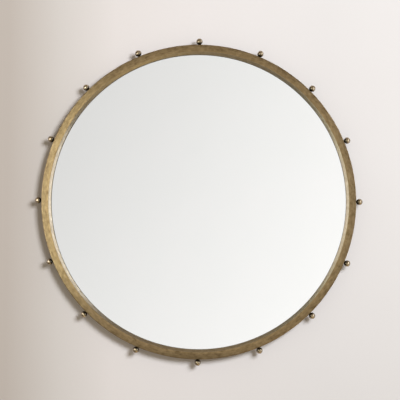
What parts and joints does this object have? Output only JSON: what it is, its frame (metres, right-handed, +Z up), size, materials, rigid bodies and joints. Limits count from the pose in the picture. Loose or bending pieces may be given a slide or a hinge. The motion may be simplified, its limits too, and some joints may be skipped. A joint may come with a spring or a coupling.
{
  "type": "round wall mirror",
  "caption": "Round wall mirror in a flat antique brass ring with small dark balls standing out from its edge, backed by a board with D ring hangers and wall bumpers.",
  "frame": {"origin": "centre of the mirror on the wall plane, where the four bumper faces touch the wall", "axes": "+Z up the wall, +Y into the wall, so the mirror faces -Y, and +X to the viewer's right"},
  "size_m": [0.9156, 0.038, 0.9156],
  "materials": {
    "antique_brass": "antiqued, brushed along the ring, satin lacquer",
    "dark_bronze": "dark bronze, polished",
    "mirror_glass": "silvered float glass with ground and polished edge",
    "fibre_board": "raw medium density fibre board",
    "white_foam": "closed cell foam sheet",
    "black_tape": "foam tape",
    "zinc_steel": "zinc plated steel",
    "grey_rubber": "moulded rubber"
  },
  "bodies": {
    "mirror": {"face_ring": "antique_brass", "rear_rim": "antique_brass", "retainer_lugs": "antique_brass", "cushion_tape": "black_tape", "mirror_glass": "mirror_glass", "foam_sheet": "white_foam", "backing_board": "fibre_board", "retaining_clips": "zinc_steel", "clip_screws": "zinc_steel", "ball_studs": "zinc_steel", "hanger_strap_left": "zinc_steel", "hanger_strap_right": "zinc_steel", "hanger_screws": "zinc_steel", "bumper_upper_left": "grey_rubber", "bumper_upper_right": "grey_rubber", "bumper_lower_left": "grey_rubber", "bumper_lower_right": "grey_rubber", "ball_01": "dark_bronze", "ball_02": "dark_bronze", "ball_03": "dark_bronze", "ball_04": "dark_bronze", "ball_05": "dark_bronze", "ball_06": "dark_bronze", "ball_07": "dark_bronze", "ball_08": "dark_bronze", "ball_09": "dark_bronze", "ball_10": "dark_bronze", "ball_11": "dark_bronze", "ball_12": "dark_bronze", "ball_13": "dark_bronze", "ball_14": "dark_bronze", "ball_15": "dark_bronze", "ball_16": "dark_bronze"},
    "ring_left": {"d_ring_left": "zinc_steel"},
    "ring_right": {"d_ring_right": "zinc_steel"}
  },
  "joints": [
    {"name": "d_ring_left_swing", "type": "hinge", "parent": "mirror", "child": "ring_left", "pos_m": [-0.26195, -0.00672, 0.19739], "axis": [-1, 0, 0], "range_deg": [0, 178]},
    {"name": "d_ring_right_swing", "type": "hinge", "parent": "mirror", "child": "ring_right", "pos_m": [0.26195, -0.00672, 0.19739], "axis": [-1, 0, 0], "range_deg": [0, 178]}
  ]
}
